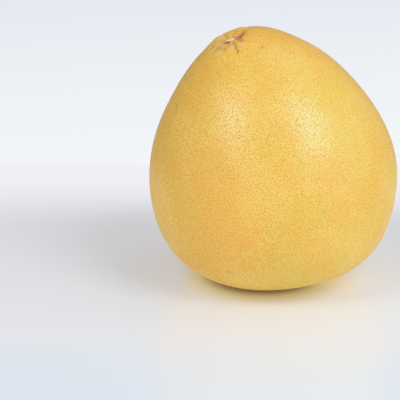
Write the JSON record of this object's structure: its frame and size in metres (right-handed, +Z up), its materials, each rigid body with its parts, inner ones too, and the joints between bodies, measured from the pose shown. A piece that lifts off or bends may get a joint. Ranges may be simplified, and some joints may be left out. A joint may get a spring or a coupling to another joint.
{
  "type": "pomelo",
  "caption": "Whole ripe pomelo with a leaning pear-shaped neck and the dried stem button in its pit, resting on a small flat spot by its blossom end.",
  "frame": {"origin": "on the resting plane, under the middle of the fruit and inside the flat resting spot", "axes": "+Z up, -Y the front with the shallow groove, -X the side that the neck leans to"},
  "size_m": [0.1547, 0.1541, 0.1588],
  "materials": {
    "rind": "waxy yellow citrus rind, semi-gloss, dotted with small sunken oil glands",
    "dry_stem": "dry, matt, pale brown woody stalk end"
  },
  "bodies": {
    "root": {"fruit": "rind", "stem_button": "dry_stem"}
  },
  "joints": []
}
